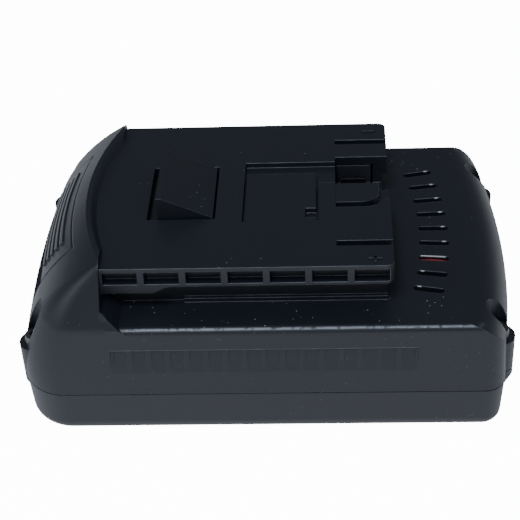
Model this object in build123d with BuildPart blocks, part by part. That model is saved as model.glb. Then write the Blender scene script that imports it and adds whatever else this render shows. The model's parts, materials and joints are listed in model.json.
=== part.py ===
from build123d import *
from math import radians, tan
import os

# A slide-on battery pack for a cordless tool: five cells in a two-part
# housing, a rail platform with terminals, and a sprung release latch.
# Millimetres. X runs along the pack to its leading (terminal) end, Y across,
# Z up from the flat base. The origin is the centre of the base.

# Housing, overall
pack_length = 115.0
parting_z = 12.4
deck_z = 30.5
platform_z = 42.15
crest_z = 43.9
wall = 2.2
side_room = 2.4
seam_gap = 0.2
fit_gap = 0.3
overrun = 6.0
corner_radius = 11.0
front_corner_radius = 5.0
shoulder_radius = 9.0
base_edge_radius = 4.0
deck_edge_radius = 1.6
side_draw_in = 1.2
front_draw_in = 0.6
front_bow = 3.6
floor_taper = 3.0

# Rear end of the housing, leaning further back the higher it goes
rear_setback = 15.6
rear_square_share = 0.6
rear_bow_low = 1.6
rear_bow_high = 6.4
crest_corner_radius = 1.6
crest_lip = 1.1
crest_lip_slope = 1.2

# Rail platform
ledge_width = 8.6
platform_front_x = 29.4
platform_rear_x = -36.1
platform_corner_radius = 1.8
flange_thickness = 5.1
groove_depth = 3.5
pedestal_set_back = 1.3
rail_plinth_height = 1.1
rail_plinth_depth = 0.9
rail_plinth_rear_x = -18.0
groove_ramp_length = 4.0
groove_ramp_height = 3.7
stop_wedge_length = 11.8
stop_wedge_taper = 3.3
stop_wedge_height = 1.7
pocket_count = 7
pocket_pitch = 9.37
pocket_rib = 1.6
pocket_height = 3.3
pocket_depth = 2.3
pocket_lip = 0.75
pocket_first_rib_x = -27.05

# Latch window and the coded plate behind the terminals
window_rear_x = -27.1
window_front_x = -11.3
window_half_width = 10.8
plate_rear_x = -5.0
plate_front_x = 12.1
plate_half_width = 12.2
plate_edge_y = 7.4
slit_width = 0.6
slit_depth = 1.4
trench_front_edge_y = 3.4
key_hole_length = 2.5
key_hole_width = 3.6
key_hole_y = -8.9

# Terminal openings in the platform
terminal_rear_x = 16.7
slot_inset = 8.5
slot_width = 1.9
slot_floor_z = 31.6
bay_far_y = 14.15
bay_near_y = -6.8
bay_step_y = 3.3
bay_floor_z = 34.6
bay_round_length = 4.6
bay_round_width = 3.1

# Deck vents, fanned about a far centre
vent_count = 9
vent_x = 40.0
vent_radius = 112.0
vent_angle = 3.02
vent_length = 7.1
vent_width = 1.7

# Corner screws and their bosses
screw_x = 53.2
screw_y = 28.0
boss_radius = 3.9
boss_top_z = 20.8
boss_foot_z = 10.2
boss_foot_height = 5.4
boss_foot_radius = 1.6
recess_radius = 3.0
recess_mouth_radius = 3.5
recess_wall = 1.0
shank_radius = 1.5
shank_gap = 0.1
screw_head_radius = 2.7
screw_head_height = 2.1
screw_head_taper = 12.0
screw_drive_radius = 1.3
screw_drive_depth = 1.2
screw_tip_z = 6.0

# Side grips
grip_top_z = 25.0
grip_height = 6.2
grip_depth = 0.5
grip_rib_depth = 0.35
grip_half_length = 34.6
grip_count = 16
grip_rib_width = 1.3

# Cells and their holder
cell_count = 5
cell_diameter = 18.4
cell_length = 65.0
cell_spacing = 0.6
cell_gap = 0.1
cell_button_radius = 3.2
cell_button_height = 0.6
holder_reach = 23.0
holder_end_lip = 0.8
holder_window_radius = 7.0
holder_side = 0.9
holder_top = 0.85
holder_corner_radius = 3.0
pad_squeeze = 0.05
pad_inset = 8.0
pad_side_gap = 0.8

# Links, tabs and sheets at the cell ends
strip_thickness = 0.25
strip_height = 9.0
strip_overlap = 4.5
dimple_radius = 2.6
tab_width = 8.0
tab_fold = 5.0
sheet_thickness = 0.3
sheet_gap = 0.15

# Control board
board_rear_x = 3.0
board_front_x = 46.0
board_near_y = -19.0
board_far_y = 21.0
board_thickness = 1.6
board_lift = 1.2
board_screw_inset = 3.2
chip_length = 9.0
chip_height = 1.1
chip_x = 8.6
chip_y = -6.0
transistor_length = 6.2
transistor_width = 5.2
transistor_height = 1.4
transistor_pitch = 7.4
transistor_x = 36.0
transistor_y = 2.0
transistor_count = 3
capacitor_radius = 2.0
capacitor_length = 7.0
capacitor_x = 8.0
capacitor_y = 4.0
capacitor_pitch = 5.0
capacitor_count = 2
board_screw_radius = 2.2
board_screw_height = 1.0
board_screw_shank = 0.9
board_screw_depth = 0.7
board_post_radius = 1.9
thermistor_radius = 0.9
thermistor_length = 4.0

# Contact carrier and blades
carrier_rear_x = 14.4
carrier_front_gap = 0.5
carrier_foot_half_width = 13.0
carrier_shelf_z = 29.0
blade_thickness = 0.8
blade_height = 5.6
blade_rear_x = 18.0
blade_front_x = 24.2
signal_blade_height = 2.8
blade_gap = 0.05
signal_blade_pitch = 6.8

# Leads
lead_radius = 1.2
lead_gap = 0.05
lead_x = 38.0
lead_rise_run = 7.0
lead_tail = 5.4
lead_end_y = -8.6
bend_share = 0.45
negative_route = (
    (-40.5, 31.0, False),
    (-12.0, 31.0, False),
    (4.0, 27.0, True),
    (13.4, 15.5, True),
)

# Release latch
latch_gap = 0.4
hook_height = 5.5
hook_rear_gap = 2.4
hook_front_gap = 0.5
hook_side_gap = 0.5
hook_land = 1.3
latch_plate_thickness = 3.0
latch_plate_front_x = -7.0
button_half_width = 19.0
button_top_z = 40.4
button_foot_z = 25.6
skirt_thickness = 1.6
skirt_height = 3.8
button_wall = 2.6
grip_line_count = 5
grip_line_pitch = 1.5
grip_line_height = 0.8
grip_line_out = 0.45
grip_line_half_width = 14.5
grip_line_first_z = 32.0
spring_x = -33.0
spring_y = 15.0
spring_radius = 3.0
spring_wire_radius = 0.35
spring_turns = 7
spring_gap = 0.1
spring_peg_radius = 2.2
spring_peg_height = 2.0

# Derived sizes
half_length = pack_length / 2
holder_end_y = cell_length / 2 + cell_gap + holder_end_lip
pad_half_width = holder_end_y - holder_reach - pad_side_gap
half_width = holder_end_y + side_room + wall
platform_half_width = half_width - ledge_width
slot_y = platform_half_width - slot_inset
vent_centre_x = vent_x - vent_radius
ceiling_z = platform_z - wall
deck_inside_z = deck_z - wall
flange_z = platform_z - flange_thickness
pedestal_half_width = platform_half_width - groove_depth
pedestal_front_x = platform_front_x - pedestal_set_back
pedestal_inside = pedestal_half_width - wall
cell_pitch = cell_diameter + cell_spacing
cell_radius = cell_diameter / 2
bore_radius = cell_radius + cell_gap
holder_floor_z = wall + fit_gap
cell_axis_z = holder_floor_z + holder_top + bore_radius
holder_top_z = cell_axis_z + bore_radius + holder_top
holder_half_length = (cell_count - 1) / 2 * cell_pitch + bore_radius + holder_side
strip_y = holder_end_y + strip_thickness
sheet_y = strip_y + sheet_gap
board_z = holder_top_z + board_lift
board_top_z = board_z + board_thickness
latch_top_z = ceiling_z - fit_gap
latch_plate_z = latch_top_z - latch_plate_thickness
hook_top_z = platform_z + hook_height
button_inner_x = platform_rear_x - corner_radius / 2
tongue_z = ceiling_z - fit_gap
spring_length = latch_plate_z - holder_top_z
ramp_front_x = platform_rear_x + groove_ramp_length
deck_half_width = half_width - side_draw_in
shoulder_z = deck_z - shoulder_radius
front_bow_radius = (half_width**2 + front_bow**2) / (2 * front_bow)
screw_places = [(sx * screw_x, sy * screw_y) for sx in (-1, 1) for sy in (-1, 1)]
board_screw_places = [
    (x, y)
    for x in (board_rear_x + board_screw_inset, board_front_x - board_screw_inset)
    for y in (board_near_y + board_screw_inset, board_far_y - board_screw_inset)
]
bay_centre_y = (bay_step_y + bay_far_y) / 2
blade_ys = (
    -slot_y,
    slot_y,
    bay_centre_y - signal_blade_pitch / 2,
    bay_centre_y + signal_blade_pitch / 2,
)
cell_places = [(index - (cell_count - 1) / 2) * cell_pitch for index in range(cell_count)]


def lean_share(z):
    """How far up the leaning rear end the height z is, from 0 to 1."""
    return (z - parting_z) / (crest_z - parting_z)


def half_width_at(z):
    """Half the housing's width: drawn in to the deck, then along the rear block."""
    if z <= deck_z:
        return half_width - side_draw_in * (z - parting_z) / (deck_z - parting_z)
    rise_share = (z - deck_z) / (crest_z - deck_z)
    return deck_half_width - (deck_half_width - platform_half_width) * rise_share


def rear_x_at(z):
    """Rearmost X of the housing on its centre plane."""
    h = lean_share(z)
    return -half_length + rear_setback * (rear_square_share * h**2 + (1 - rear_square_share) * h**3)


def rear_bow_at(z):
    """How far the rear end is bowed out from its corners at height z."""
    return rear_bow_low + (rear_bow_high - rear_bow_low) * lean_share(z) ** 2


def corner_radius_at(z):
    """Corner radius: full up to the deck, then closing to the crest's corners."""
    if z <= deck_z:
        return corner_radius
    rise_share = (z - deck_z) / (crest_z - deck_z)
    return corner_radius + (crest_corner_radius - corner_radius) * rise_share


def grip_cuts():
    """Depth, length and places of the cuts that make one ribbed finger grip."""
    pitch = 2 * grip_half_length / grip_count
    rib_places = [(-grip_half_length + (index + 1 / 2) * pitch, 0) for index in range(grip_count)]
    return (
        (grip_depth, 2 * grip_half_length, [(0, 0)]),
        (grip_depth + grip_rib_depth, pitch - grip_rib_width, rib_places),
    )


def front_x_at(z):
    """Foremost X of the housing on its centre plane."""
    return half_length - front_draw_in * (z - parting_z) / (deck_z - parting_z)


def plan_outline(z, inset):
    """Whole plan of the housing at height z, bowed at both ends."""
    half = half_width_at(z) - inset
    rear = rear_x_at(z) + inset
    front = front_x_at(z) - inset
    rear_corner = rear + rear_bow_at(z)
    front_corner = front - front_bow
    with BuildSketch(Plane.XY.offset(z)) as outline:
        with BuildLine():
            ThreePointArc((rear_corner, -half), (rear, 0), (rear_corner, half))
            Line((rear_corner, half), (front_corner, half))
            ThreePointArc((front_corner, half), (front, 0), (front_corner, -half))
            Line((front_corner, -half), (rear_corner, -half))
        make_face()
        fillet(outline.vertices().sort_by(Axis.X)[-2:], front_corner_radius - inset)
        fillet(outline.vertices().sort_by(Axis.X)[:2], corner_radius_at(z) - inset)
    return outline.sketch


def rear_outline(z, inset, front_x):
    """Plan of the rear block at height z, straight at its front."""
    half = half_width_at(z) - inset
    rear = rear_x_at(z) + inset
    rear_corner = rear + rear_bow_at(z)
    with BuildSketch(Plane.XY.offset(z)) as outline:
        with BuildLine():
            ThreePointArc((rear_corner, -half), (rear, 0), (rear_corner, half))
            Line((rear_corner, half), (front_x, half))
            Line((front_x, half), (front_x, -half))
            Line((front_x, -half), (rear_corner, -half))
        make_face()
        corners = outline.vertices().sort_by(Axis.X)[:2]
        fillet(corners, max(corner_radius_at(z) - inset, crest_corner_radius))
    return outline.sketch


def rear_body(low_z, high_z, inset, front_x):
    """Solid with the form of the rear block between two heights."""
    heights = (low_z, (low_z + high_z) / 2, high_z)
    with BuildPart() as body:
        loft([rear_outline(z, inset, front_x) for z in heights])
    return body.part


def base_body(low_z, high_z, inset):
    """Solid with the form of the housing from the parting up to the deck."""
    heights = (low_z, (low_z + high_z) / 2, high_z)
    with BuildPart() as body:
        loft([plan_outline(z, inset) for z in heights])
    return body.part


def shoulder_cut(inset):
    """Ring that rounds the deck off into the bowed leading end."""
    end_x = front_x_at(shoulder_z) - inset
    start_x = front_x_at(shoulder_z) - shoulder_radius
    start_z = deck_z - inset
    axis_x = front_x_at(shoulder_z) - front_bow_radius
    with BuildPart() as cut:
        with BuildSketch(Plane.XZ):
            with BuildLine():
                RadiusArc((start_x, start_z), (end_x, shoulder_z), shoulder_radius - inset)
                Polyline(
                    (end_x, shoulder_z),
                    (end_x + overrun, shoulder_z),
                    (end_x + overrun, deck_z + overrun),
                    (start_x, deck_z + overrun),
                    (start_x, start_z),
                )
            make_face()
        revolve(axis=Axis((axis_x, 0, 0), (0, 0, 1)))
    return cut.part


def make_housing_cavity():
    """Space inside the upper housing, less the pillars round the screw recesses."""
    rear_space = rear_body(deck_inside_z, ceiling_z, wall, ramp_front_x)
    space_length = pedestal_front_x - platform_rear_x
    with BuildPart() as cavity:
        add(rear_space)
        # the block's side walls end at the grooves
        with BuildSketch(Plane.XY.offset(deck_inside_z)):
            with Locations((platform_rear_x - wall, 0)):
                Rectangle(space_length, 2 * half_width, align=(Align.MIN, Align.CENTER))
        extrude(amount=platform_z, mode=Mode.SUBTRACT)
        add(base_body(parting_z - overrun / 2, deck_inside_z, wall))
        add(shoulder_cut(wall), mode=Mode.SUBTRACT)
        with BuildSketch(Plane.XY.offset(deck_inside_z - wall)):
            with Locations((platform_rear_x - 2 * wall, 0)):
                Rectangle(space_length + wall, 2 * pedestal_inside, align=(Align.MIN, Align.CENTER))
        extrude(amount=ceiling_z - deck_inside_z + wall)
        with BuildSketch(Plane.XY.offset(boss_top_z - wall)):
            with Locations(screw_places):
                Circle(recess_radius + recess_wall)
        extrude(amount=crest_z - boss_top_z + wall, mode=Mode.SUBTRACT)
        with BuildSketch(Plane.XY.offset(parting_z - overrun / 2)):
            with Locations(screw_places):
                Circle(boss_radius)
        extrude(amount=boss_top_z - parting_z + overrun / 2, mode=Mode.SUBTRACT)
    return cavity.part


def make_terminal_bay():
    """Cut-out of the wide terminal bay, down to its two floors."""
    bay_end_x = platform_front_x + overrun
    round_x = pedestal_front_x - bay_round_length
    round_y = bay_near_y + bay_round_width
    with BuildPart() as bay:
        with BuildSketch(Plane.XY.offset(tongue_z)):
            with BuildLine():
                Polyline(
                    (round_x, bay_near_y),
                    (terminal_rear_x, bay_near_y),
                    (terminal_rear_x, bay_far_y),
                    (bay_end_x, bay_far_y),
                    (bay_end_x, round_y),
                    (pedestal_front_x, round_y),
                )
                TangentArc((round_x, bay_near_y), (pedestal_front_x, round_y), tangent=(1, 0))
            make_face()
        extrude(amount=platform_z - tongue_z + overrun)
        with BuildSketch(Plane.XY.offset(bay_floor_z)):
            with Locations((terminal_rear_x, bay_step_y)):
                Rectangle(
                    bay_end_x - terminal_rear_x,
                    bay_far_y - bay_step_y,
                    align=(Align.MIN, Align.MIN),
                )
        extrude(amount=platform_z - bay_floor_z)
    return bay.part


def make_upper_housing():
    base = base_body(parting_z + seam_gap, deck_z, 0)
    block = rear_body(deck_z, crest_z, 0, ramp_front_x)
    cavity = make_housing_cavity()
    bay = make_terminal_bay()
    with BuildPart() as upper_housing:
        add(base)
        add(block)
        # the block's front drops to the deck down a ramp
        with BuildSketch(Plane.XZ):
            with BuildLine():
                Polyline(
                    (ramp_front_x, deck_z),
                    (platform_rear_x, deck_z + groove_ramp_height),
                    (platform_rear_x, crest_z + overrun),
                    (ramp_front_x + overrun, crest_z + overrun),
                    (ramp_front_x + overrun, deck_z),
                    close=True,
                )
            make_face()
        extrude(amount=half_width + overrun, both=True, mode=Mode.SUBTRACT)
        # rounded rim of the deck, from the ramps round the leading end
        deck_edges = upper_housing.edges().filter_by_position(
            Axis.Z, deck_z - seam_gap / 2, deck_z + seam_gap / 2
        )
        side_rims = deck_edges.filter_by(
            lambda edge: abs(edge.center().Y) > deck_half_width - seam_gap and edge.center().X > ramp_front_x
        )
        end_rims = deck_edges.filter_by(lambda edge: edge.center().X > half_length - corner_radius)
        fillet(side_rims + end_rims, deck_edge_radius)
        add(shoulder_cut(0), mode=Mode.SUBTRACT)
        # pedestal and overhanging platform
        with BuildSketch(Plane.XY.offset(deck_inside_z)):
            with Locations((platform_rear_x - wall, 0)):
                Rectangle(
                    pedestal_front_x - platform_rear_x + wall,
                    2 * pedestal_half_width,
                    align=(Align.MIN, Align.CENTER),
                )
        extrude(amount=flange_z - deck_inside_z)
        with BuildSketch(Plane.XY.offset(flange_z)) as slab_plan:
            with Locations((platform_rear_x - wall, 0)):
                Rectangle(
                    platform_front_x - platform_rear_x + wall,
                    2 * platform_half_width,
                    align=(Align.MIN, Align.CENTER),
                )
            fillet(slab_plan.vertices().group_by(Axis.X)[-1], platform_corner_radius)
        extrude(amount=flange_thickness)
        # low plinth along the foot of each groove
        plinth_length = pedestal_front_x - rail_plinth_rear_x
        with BuildSketch(Plane.XY.offset(deck_z - seam_gap)):
            with Locations((rail_plinth_rear_x, 0)):
                Rectangle(
                    plinth_length,
                    2 * (pedestal_half_width + rail_plinth_depth),
                    align=(Align.MIN, Align.CENTER),
                )
        extrude(amount=rail_plinth_height + seam_gap)
        # the flanges thicken towards the rear stop
        for side in (-1, 1):
            with BuildSketch(Plane.XZ.offset(-side * pedestal_half_width)):
                with BuildLine():
                    Polyline(
                        (platform_rear_x, flange_z),
                        (platform_rear_x, flange_z - stop_wedge_height),
                        (platform_rear_x + stop_wedge_length, flange_z - stop_wedge_height),
                        (platform_rear_x + stop_wedge_length + stop_wedge_taper, flange_z),
                        close=True,
                    )
                make_face()
            extrude(amount=-side * groove_depth)
        # crest lip: the top is let down to the platform in front of it
        lip_centre_x = platform_front_x
        lip_radius = lip_centre_x - rear_x_at(crest_z) - crest_lip
        with BuildSketch(Plane.XY.offset(platform_z)):
            with Locations((lip_centre_x, 0)):
                Circle(lip_radius - crest_lip_slope)
        with BuildSketch(Plane.XY.offset(crest_z)):
            with Locations((lip_centre_x, 0)):
                Circle(lip_radius)
        loft(ruled=True, mode=Mode.SUBTRACT)
        add(cavity, mode=Mode.SUBTRACT)
        # screw bosses standing out of the corners, with a recess over each
        with BuildSketch(Plane.XY.offset(parting_z + seam_gap)):
            with Locations(screw_places):
                Circle(boss_radius)
        extrude(amount=boss_top_z - parting_z - seam_gap)
        with Locations([(x, y, boss_top_z) for x, y in screw_places]):
            Cone(
                recess_radius,
                recess_mouth_radius,
                crest_z - boss_top_z,
                align=(Align.CENTER, Align.CENTER, Align.MIN),
                mode=Mode.SUBTRACT,
            )
        with BuildSketch(Plane.XY.offset(parting_z)):
            with Locations(screw_places):
                Circle(shank_radius + shank_gap)
        extrude(amount=platform_z - parting_z, mode=Mode.SUBTRACT)
        # pockets along both flanges
        pocket_first_x = pocket_first_rib_x - pocket_pitch / 2
        pocket_z = flange_z + pocket_lip + pocket_height / 2
        pocket_places = [
            (pocket_first_x + index * pocket_pitch, side * platform_half_width, pocket_z)
            for index in range(pocket_count)
            for side in (-1, 1)
        ]
        with Locations(pocket_places):
            Box(pocket_pitch - pocket_rib, 2 * pocket_depth, pocket_height, mode=Mode.SUBTRACT)
        # latch window
        with BuildSketch(Plane.XY.offset(platform_z)):
            with Locations(((window_rear_x + window_front_x) / 2, 0)):
                Rectangle(window_front_x - window_rear_x, 2 * window_half_width)
        extrude(amount=-2 * wall, mode=Mode.SUBTRACT)
        # coded plate, set off by slits and an L-shaped trench
        with BuildSketch(Plane.XY.offset(platform_z)):
            with BuildLine():
                Polyline(
                    (plate_rear_x, plate_edge_y),
                    (plate_rear_x, plate_half_width),
                    (terminal_rear_x + slit_width, plate_half_width),
                    (terminal_rear_x + slit_width, trench_front_edge_y),
                    (plate_front_x, trench_front_edge_y),
                    (plate_front_x, plate_edge_y),
                    close=True,
                )
            make_face()
            with Locations((plate_rear_x, 0), (plate_front_x, 0)):
                Rectangle(slit_width, 2 * plate_half_width, align=(Align.MIN, Align.CENTER))
            with Locations((plate_front_x, key_hole_y)):
                Rectangle(key_hole_length, key_hole_width, align=(Align.MAX, Align.CENTER))
        extrude(amount=-slit_depth, mode=Mode.SUBTRACT)
        # terminal slots, open at the leading end, and the wide bay
        with BuildSketch(Plane.XY.offset(slot_floor_z)):
            with Locations((terminal_rear_x, -slot_y), (terminal_rear_x, slot_y)):
                Rectangle(
                    platform_front_x - terminal_rear_x + overrun,
                    slot_width,
                    align=(Align.MIN, Align.CENTER),
                )
        extrude(amount=platform_z - slot_floor_z, mode=Mode.SUBTRACT)
        add(bay, mode=Mode.SUBTRACT)
        # deck vents
        with BuildSketch(Plane.XY.offset(deck_z)):
            with Locations((vent_centre_x, 0)):
                with PolarLocations(
                    vent_radius,
                    vent_count,
                    -(vent_count - 1) / 2 * vent_angle,
                    vent_count * vent_angle,
                ):
                    SlotOverall(vent_length, vent_width)
        extrude(amount=-2 * wall, mode=Mode.SUBTRACT)
        # scooped finger grips low on both sides
        for side in (-1, 1):
            grip_y = side * half_width_at(grip_top_z)
            for depth, length, places in grip_cuts():
                with BuildSketch(Plane.YZ.offset(-length / 2)):
                    with BuildLine():
                        Polyline(
                            (grip_y - side * depth, grip_top_z),
                            (grip_y + side * overrun, grip_top_z),
                            (grip_y + side * overrun, grip_top_z - grip_height),
                            (side * half_width_at(grip_top_z - grip_height), grip_top_z - grip_height),
                            close=True,
                        )
                    make_face()
                cutter = extrude(amount=length, mode=Mode.PRIVATE)
                with Locations(places):
                    add(cutter, mode=Mode.SUBTRACT)
        # opening for the latch's thumb button
        opening_half_width = button_half_width + latch_gap
        with BuildSketch(Plane.XZ):
            with BuildLine():
                Polyline(
                    (-half_length, button_foot_z - latch_gap),
                    (rear_x_at(button_foot_z) + 2 * wall, button_foot_z - latch_gap),
                    (button_inner_x + wall, ceiling_z - wall),
                    (button_inner_x + wall, button_top_z + latch_gap),
                    (-half_length, button_top_z + latch_gap),
                    close=True,
                )
            make_face()
        extrude(amount=opening_half_width, both=True, mode=Mode.SUBTRACT)
    upper_housing.part.label = "upper_housing"
    export_step(upper_housing.part, "parts/upper_housing.step")


def tray_body(inset, low_z):
    """Lower housing's outer form, or the form inside it, open at the parting."""
    height = parting_z - low_z
    rim_outline = plan_outline(parting_z, inset)
    floor_outline = plan_outline(parting_z, inset + height * tan(radians(floor_taper)))
    with BuildPart() as body:
        loft([rim_outline, floor_outline.moved(Location((0, 0, -height)))], ruled=True)
        rim = body.faces().sort_by(Axis.Z)[0].edges()
        fillet(rim, base_edge_radius - inset)
    return body.part


def make_lower_housing():
    outer = tray_body(0, 0)
    inner = tray_body(wall, wall)
    with BuildPart() as pillars:
        with BuildSketch(Plane.XY.offset(wall / 2)):
            with Locations(screw_places):
                Circle(boss_radius)
        extrude(amount=boss_foot_z)
        add(outer, mode=Mode.INTERSECT)
    with BuildPart() as lower_housing:
        add(outer)
        add(inner, mode=Mode.SUBTRACT)
        # screw bosses, standing out of the corners and fading out below
        with BuildSketch(Plane.XY.offset(boss_foot_z)):
            with Locations(screw_places):
                Circle(boss_radius)
        extrude(amount=parting_z - boss_foot_z)
        with Locations([(x, y, boss_foot_z) for x, y in screw_places]):
            Cone(
                boss_foot_radius,
                boss_radius,
                boss_foot_height,
                align=(Align.CENTER, Align.CENTER, Align.MAX),
            )
        add(pillars.part)
        with BuildSketch(Plane.XY.offset(screw_tip_z - shank_gap)):
            with Locations(screw_places):
                Circle(shank_radius + shank_gap)
        extrude(amount=parting_z, mode=Mode.SUBTRACT)
    lower_housing.part.label = "lower_housing"
    export_step(lower_housing.part, "parts/lower_housing.step")


def make_housing_screws():
    with BuildPart() as housing_screws:
        with BuildSketch(Plane.XY.offset(screw_tip_z)):
            with Locations(screw_places):
                Circle(shank_radius)
        extrude(amount=boss_top_z - screw_tip_z)
        with BuildSketch(Plane.XY.offset(boss_top_z)):
            with Locations(screw_places):
                Circle(screw_head_radius)
        extrude(amount=screw_head_height, taper=screw_head_taper)
        with BuildSketch(Plane.XY.offset(boss_top_z + screw_head_height)):
            with Locations(screw_places):
                RegularPolygon(screw_drive_radius, 6)
        extrude(amount=-screw_drive_depth, mode=Mode.SUBTRACT)
    housing_screws.part.label = "housing_screws"
    export_step(housing_screws.part, "parts/housing_screws.step")


def make_cells():
    """Five round cells side by side, their button ends turned by turns."""
    for index, x in enumerate(cell_places):
        side = 1 if index % 2 else -1
        name = f"cell_{index + 1}"
        with BuildPart() as cell:
            with BuildSketch(Plane.XZ.offset(side * cell_length / 2)):
                with Locations((x, cell_axis_z)):
                    Circle(cell_radius)
            extrude(amount=-side * (cell_length - cell_button_height))
            with BuildSketch(Plane.XZ.offset(-side * cell_length / 2)):
                with Locations((x, cell_axis_z)):
                    Circle(cell_button_radius)
            extrude(amount=side * cell_button_height)
        cell.part.label = name
        export_step(cell.part, f"parts/{name}.step")


def make_cell_holder(name, side):
    """One half of the cell holder, a block of bores with stops over the cell ends."""
    end_plane = Plane.XZ.offset(-side * holder_end_y)
    with BuildPart() as holder:
        with BuildSketch(end_plane):
            with Locations((0, cell_axis_z)):
                Rectangle(2 * holder_half_length, holder_top_z - holder_floor_z)
        extrude(amount=side * holder_reach)
        outer_corners = holder.edges().filter_by(Axis.Z).filter_by(
            lambda edge: abs(edge.center().Y) > holder_end_y - holder_end_lip
        )
        fillet(outer_corners, holder_corner_radius)
        with BuildSketch(end_plane):
            with Locations([(x, cell_axis_z) for x in cell_places]):
                Circle(holder_window_radius)
        extrude(amount=side * holder_reach, mode=Mode.SUBTRACT)
        with BuildSketch(Plane.XZ.offset(-side * (holder_end_y - holder_end_lip))):
            with Locations([(x, cell_axis_z) for x in cell_places]):
                Circle(bore_radius)
        extrude(amount=side * holder_reach, mode=Mode.SUBTRACT)
        # pegs for the latch springs and posts for the control board
        with BuildSketch(Plane.XY.offset(holder_top_z)):
            with Locations((spring_x, side * spring_y)):
                Circle(spring_peg_radius)
        extrude(amount=spring_peg_height)
        with BuildSketch(Plane.XY.offset(holder_top_z)):
            with Locations([place for place in board_screw_places if place[1] * side > 0]):
                Circle(board_post_radius)
        extrude(amount=board_lift)
        with BuildSketch(Plane.XY.offset(board_z)):
            with Locations([place for place in board_screw_places if place[1] * side > 0]):
                Circle(board_screw_shank + shank_gap)
        extrude(amount=-board_screw_depth - shank_gap, mode=Mode.SUBTRACT)
    holder.part.label = name
    export_step(holder.part, f"parts/{name}.step")


def make_floor_pad():
    pad_top_z = cell_axis_z - cell_radius - pad_squeeze
    with BuildPart() as floor_pad:
        with BuildSketch(Plane.XY.offset(wall)):
            RectangleRounded(2 * (holder_half_length - pad_inset), 2 * pad_half_width, holder_corner_radius)
        extrude(amount=pad_top_z - wall)
    floor_pad.part.label = "floor_pad"
    export_step(floor_pad.part, "parts/floor_pad.step")


def make_cell_links():
    """Welded strips that put the cells in series, front and rear by turns."""
    for index in range(cell_count - 1):
        side = -1 if index % 2 == 0 else 1
        pair = cell_places[index:index + 2]
        name = f"series_link_{index + 1}"
        with BuildPart() as link:
            with BuildSketch(Plane.XZ.offset(-side * strip_y)):
                with Locations((sum(pair) / 2, cell_axis_z)):
                    RectangleRounded(cell_pitch + 2 * strip_overlap, strip_height, strip_overlap / 2)
            extrude(amount=side * strip_thickness)
            with BuildSketch(Plane.XZ.offset(-side * holder_end_y)):
                with Locations([(x, cell_axis_z) for x in pair]):
                    Circle(dimple_radius)
            extrude(amount=side * holder_end_lip)
        link.part.label = name
        export_step(link.part, f"parts/{name}.step")


def make_end_tab(name, x, side):
    """End strip of the series, folded over the top of the cell holder."""
    fold_z = holder_top_z + strip_thickness
    with BuildPart() as tab:
        with BuildSketch(Plane.XZ.offset(-side * strip_y)):
            with Locations((x, cell_axis_z - strip_overlap)):
                Rectangle(
                    tab_width,
                    fold_z - cell_axis_z + strip_overlap,
                    align=(Align.CENTER, Align.MIN),
                )
        extrude(amount=side * strip_thickness)
        with BuildSketch(Plane.XZ.offset(-side * holder_end_y)):
            with Locations((x, cell_axis_z)):
                Circle(dimple_radius)
        extrude(amount=side * holder_end_lip)
        with BuildSketch(Plane.XY.offset(holder_top_z)):
            with Locations((x, side * strip_y)):
                Rectangle(
                    tab_width,
                    tab_fold,
                    align=(Align.CENTER, Align.MAX if side > 0 else Align.MIN),
                )
        extrude(amount=strip_thickness)
    tab.part.label = name
    export_step(tab.part, f"parts/{name}.step")


def make_insulating_sheet(name, side):
    with BuildPart() as sheet:
        with BuildSketch(Plane.XZ.offset(-side * (sheet_y + sheet_gap))):
            with Locations((0, cell_axis_z)):
                RectangleRounded(
                    2 * (holder_half_length - holder_corner_radius),
                    2 * (cell_radius - holder_side),
                    holder_side,
                )
        extrude(amount=side * sheet_thickness)
    sheet.part.label = name
    export_step(sheet.part, f"parts/{name}.step")


def make_control_board():
    with BuildPart() as control_board:
        with BuildSketch(Plane.XY.offset(board_z)):
            with Locations(((board_rear_x + board_front_x) / 2, (board_near_y + board_far_y) / 2)):
                RectangleRounded(
                    board_front_x - board_rear_x,
                    board_far_y - board_near_y,
                    board_thickness,
                )
            with Locations(board_screw_places):
                Circle(board_screw_shank + shank_gap, mode=Mode.SUBTRACT)
        extrude(amount=board_thickness)
    control_board.part.label = "control_board"
    export_step(control_board.part, "parts/control_board.step")


def make_board_parts():
    """Chip, power transistors and capacitors on the control board."""
    with BuildPart() as controller_chip:
        with BuildSketch(Plane.XY.offset(board_top_z)):
            with Locations((chip_x, chip_y)):
                Rectangle(chip_length, chip_length)
        extrude(amount=chip_height)
    controller_chip.part.label = "controller_chip"
    export_step(controller_chip.part, "parts/controller_chip.step")
    transistor_places = [
        (transistor_x, transistor_y + index * transistor_pitch) for index in range(transistor_count)
    ]
    with BuildPart() as power_transistors:
        with BuildSketch(Plane.XY.offset(board_top_z)):
            with Locations(transistor_places):
                Rectangle(transistor_length, transistor_width)
        extrude(amount=transistor_height)
    power_transistors.part.label = "power_transistors"
    export_step(power_transistors.part, "parts/power_transistors.step")
    capacitor_places = [
        (capacitor_x, capacitor_y + index * capacitor_pitch) for index in range(capacitor_count)
    ]
    with BuildPart() as capacitors:
        with BuildSketch(Plane.XY.offset(board_top_z)):
            with Locations(capacitor_places):
                Circle(capacitor_radius)
        extrude(amount=capacitor_length)
    capacitors.part.label = "capacitors"
    export_step(capacitors.part, "parts/capacitors.step")


def make_board_screws():
    with BuildPart() as board_screws:
        with BuildSketch(Plane.XY.offset(board_z - board_screw_depth)):
            with Locations(board_screw_places):
                Circle(board_screw_shank)
        extrude(amount=board_screw_depth + board_thickness)
        with BuildSketch(Plane.XY.offset(board_top_z)):
            with Locations(board_screw_places):
                Circle(board_screw_radius)
        extrude(amount=board_screw_height)
    board_screws.part.label = "board_screws"
    export_step(board_screws.part, "parts/board_screws.step")


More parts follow.
